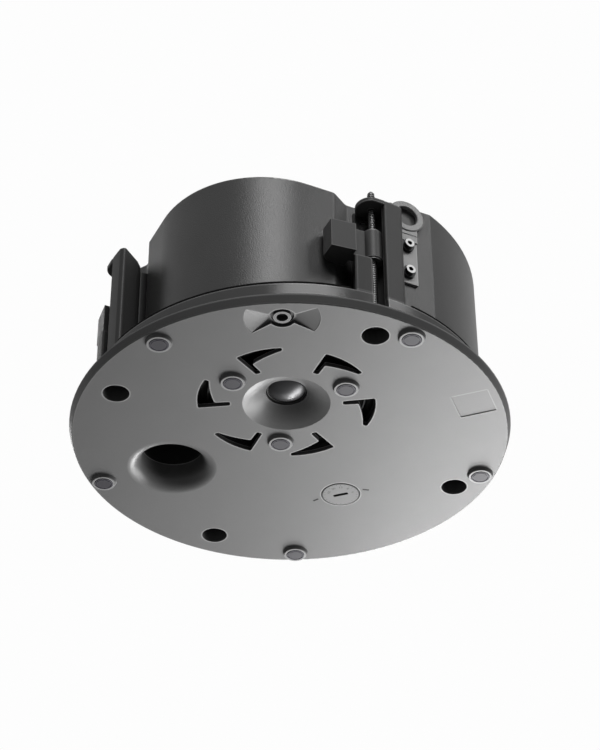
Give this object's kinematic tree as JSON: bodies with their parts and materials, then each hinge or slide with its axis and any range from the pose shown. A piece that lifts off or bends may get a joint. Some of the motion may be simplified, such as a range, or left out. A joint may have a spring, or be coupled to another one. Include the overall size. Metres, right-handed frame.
{
  "type": "in ceiling speaker",
  "caption": "Round in-ceiling speaker: plastic baffle with slots, waveguide and port, metal back can, and swing-out dogs on long screws that clamp it to the ceiling board.",
  "frame": {"origin": "centre of the rectangle around the baffle, on the plane of the magnet faces that the part stands on", "axes": "+Z from the room up into the ceiling, along the axis of the round baffle; +X to the right and -Y towards the camera in the picture"},
  "size_m": [0.315, 0.315, 0.162],
  "materials": {
    "baffle_plastic": "satin",
    "can_paint": "textured",
    "black_foam": "matte",
    "plated_magnet": "satin",
    "grey_steel": "satin",
    "zinc_steel": "satin",
    "black_rubber": "matte",
    "cone_skin": "satin",
    "copper_wire": "satin",
    "spider_cloth": "matte",
    "black_steel": "satin",
    "ferrite": "matte",
    "dome_metal": "gloss",
    "tube_plastic": "matte",
    "dial_plastic": "satin",
    "lamination_steel": "matte",
    "tape_wrap": "gloss",
    "board_laminate": "satin",
    "film_case": "gloss",
    "polyester_pad": "matte",
    "black_screw": "satin",
    "dog_plastic": "satin"
  },
  "bodies": {
    "housing": {"back_can": "can_paint", "baffle": "baffle_plastic", "board_screws": "zinc_steel", "can_gasket": "black_foam", "can_screws": "zinc_steel", "collar_seal": "black_foam", "cover_screws": "zinc_steel", "crossover_board": "board_laminate", "crossover_capacitors": "film_case", "crossover_coils": "copper_wire", "damping_pad": "polyester_pad", "hanger_strap": "grey_steel", "inlet_grommet": "black_rubber", "inner_magnets": "plated_magnet", "port_tube": "tube_plastic", "rim_magnets": "plated_magnet", "selector_switch": "tube_plastic", "strap_screws": "zinc_steel", "terminal_block": "tube_plastic", "terminal_cover": "can_paint", "terminal_screws": "zinc_steel", "transformer_core": "lamination_steel", "transformer_winding": "tape_wrap", "tweeter_dome": "dome_metal", "tweeter_magnet": "black_steel", "tweeter_plate": "black_steel", "tweeter_surround": "black_rubber", "woofer_basket": "black_steel", "woofer_gasket": "black_foam", "woofer_magnet": "ferrite", "woofer_screws": "zinc_steel", "woofer_spider": "spider_cloth", "woofer_surround": "black_rubber", "woofer_top_plate": "zinc_steel", "woofer_yoke": "zinc_steel"},
    "cone": {"woofer_cone": "cone_skin", "dust_cap": "cone_skin", "voice_coil": "copper_wire"},
    "dial": {"selector_dial": "dial_plastic"},
    "screw_1": {"clamp_screw_1": "black_screw"},
    "bush_1": {"clamp_bush_1": "zinc_steel"},
    "dog_1": {"clamp_dog_1": "dog_plastic"},
    "screw_2": {"clamp_screw_2": "black_screw"},
    "bush_2": {"clamp_bush_2": "zinc_steel"},
    "dog_2": {"clamp_dog_2": "dog_plastic"},
    "screw_3": {"clamp_screw_3": "black_screw"},
    "bush_3": {"clamp_bush_3": "zinc_steel"},
    "dog_3": {"clamp_dog_3": "dog_plastic"},
    "screw_4": {"clamp_screw_4": "black_screw"},
    "bush_4": {"clamp_bush_4": "zinc_steel"},
    "dog_4": {"clamp_dog_4": "dog_plastic"}
  },
  "joints": [
    {"name": "cone_piston", "type": "slide", "parent": "housing", "child": "cone", "axis": [0, 0, 1], "range_m": [-0.003, 0.003], "stiffness_N_per_m": 2000},
    {"name": "selector_turn", "type": "hinge", "parent": "housing", "child": "dial", "pos_m": [0.0355, 0.0673, 0.0045], "axis": [0, 0, 1], "range_deg": [-90, 90]},
    {"name": "screw_turn_1", "type": "hinge", "parent": "housing", "child": "screw_1", "pos_m": [0.06056, -0.11886, 0.06], "axis": [0, 0, 1], "range_deg": [-3285, 10305]},
    {"name": "bush_travel_1", "type": "slide", "parent": "housing", "child": "bush_1", "axis": [0, 0, 1], "range_m": [-0.0456, 0.0144]},
    {"name": "dog_swing_1", "type": "hinge", "parent": "bush_1", "child": "dog_1", "pos_m": [0.06056, -0.11886, 0.08], "axis": [0, 0, 1], "range_deg": [0, 90]},
    {"name": "screw_turn_2", "type": "hinge", "parent": "housing", "child": "screw_2", "pos_m": [0.11886, 0.06056, 0.06], "axis": [0, 0, 1], "range_deg": [-3285, 10305]},
    {"name": "bush_travel_2", "type": "slide", "parent": "housing", "child": "bush_2", "axis": [0, 0, 1], "range_m": [-0.0456, 0.0144]},
    {"name": "dog_swing_2", "type": "hinge", "parent": "bush_2", "child": "dog_2", "pos_m": [0.11886, 0.06056, 0.08], "axis": [0, 0, 1], "range_deg": [0, 90]},
    {"name": "screw_turn_3", "type": "hinge", "parent": "housing", "child": "screw_3", "pos_m": [-0.06056, 0.11886, 0.06], "axis": [0, 0, 1], "range_deg": [-3285, 10305]},
    {"name": "bush_travel_3", "type": "slide", "parent": "housing", "child": "bush_3", "axis": [0, 0, 1], "range_m": [-0.0456, 0.0144]},
    {"name": "dog_swing_3", "type": "hinge", "parent": "bush_3", "child": "dog_3", "pos_m": [-0.06056, 0.11886, 0.08], "axis": [0, 0, 1], "range_deg": [0, 90]},
    {"name": "screw_turn_4", "type": "hinge", "parent": "housing", "child": "screw_4", "pos_m": [-0.11886, -0.06056, 0.06], "axis": [0, 0, 1], "range_deg": [-3285, 10305]},
    {"name": "bush_travel_4", "type": "slide", "parent": "housing", "child": "bush_4", "axis": [0, 0, 1], "range_m": [-0.0456, 0.0144]},
    {"name": "dog_swing_4", "type": "hinge", "parent": "bush_4", "child": "dog_4", "pos_m": [-0.11886, -0.06056, 0.08], "axis": [0, 0, 1], "range_deg": [0, 90]}
  ],
  "couplings": [
    {"joint": "screw_turn_1", "follows": "bush_travel_1", "rad_per_m": -3927},
    {"joint": "screw_turn_2", "follows": "bush_travel_2", "rad_per_m": -3927},
    {"joint": "screw_turn_3", "follows": "bush_travel_3", "rad_per_m": -3927},
    {"joint": "screw_turn_4", "follows": "bush_travel_4", "rad_per_m": -3927}
  ]
}
